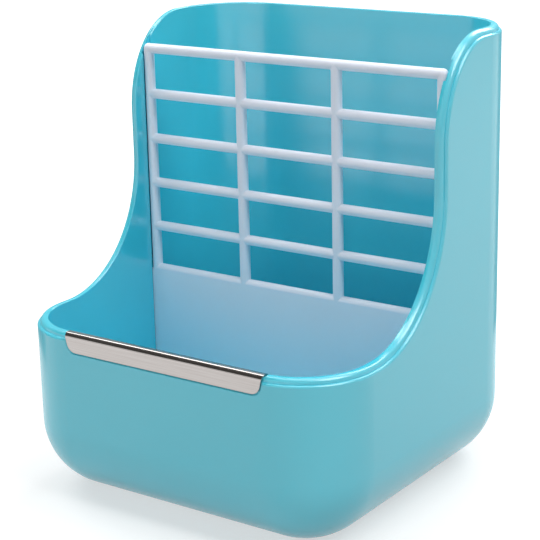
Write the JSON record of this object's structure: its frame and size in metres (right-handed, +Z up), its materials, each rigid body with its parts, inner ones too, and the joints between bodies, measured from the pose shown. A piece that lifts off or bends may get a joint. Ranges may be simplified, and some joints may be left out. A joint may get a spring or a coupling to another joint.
{
  "type": "hay feeder box",
  "caption": "Small-animal hay feeder: a round-cornered plastic hay rack and feed bowl in one, with a white lift-out grille and a steel bite guard on the front rim.",
  "frame": {"origin": "centre of the footprint, on the surface that the box stands on", "axes": "+X to the right of someone facing the bowl, +Y from the bowl towards the back wall, +Z up"},
  "size_m": [0.171, 0.1664, 0.204],
  "materials": {
    "body_plastic": "glossy light blue moulded plastic",
    "grille_plastic": "satin white moulded plastic",
    "guard_steel": "polished stainless sheet"
  },
  "bodies": {
    "box": {"feeder_body": "body_plastic", "bite_guard": "guard_steel"},
    "grille": {"hay_grille": "grille_plastic"}
  },
  "joints": [
    {"name": "grille_lift", "type": "slide", "parent": "box", "child": "grille", "axis": [0, 0, 1], "range_m": [0, 0.19]}
  ]
}
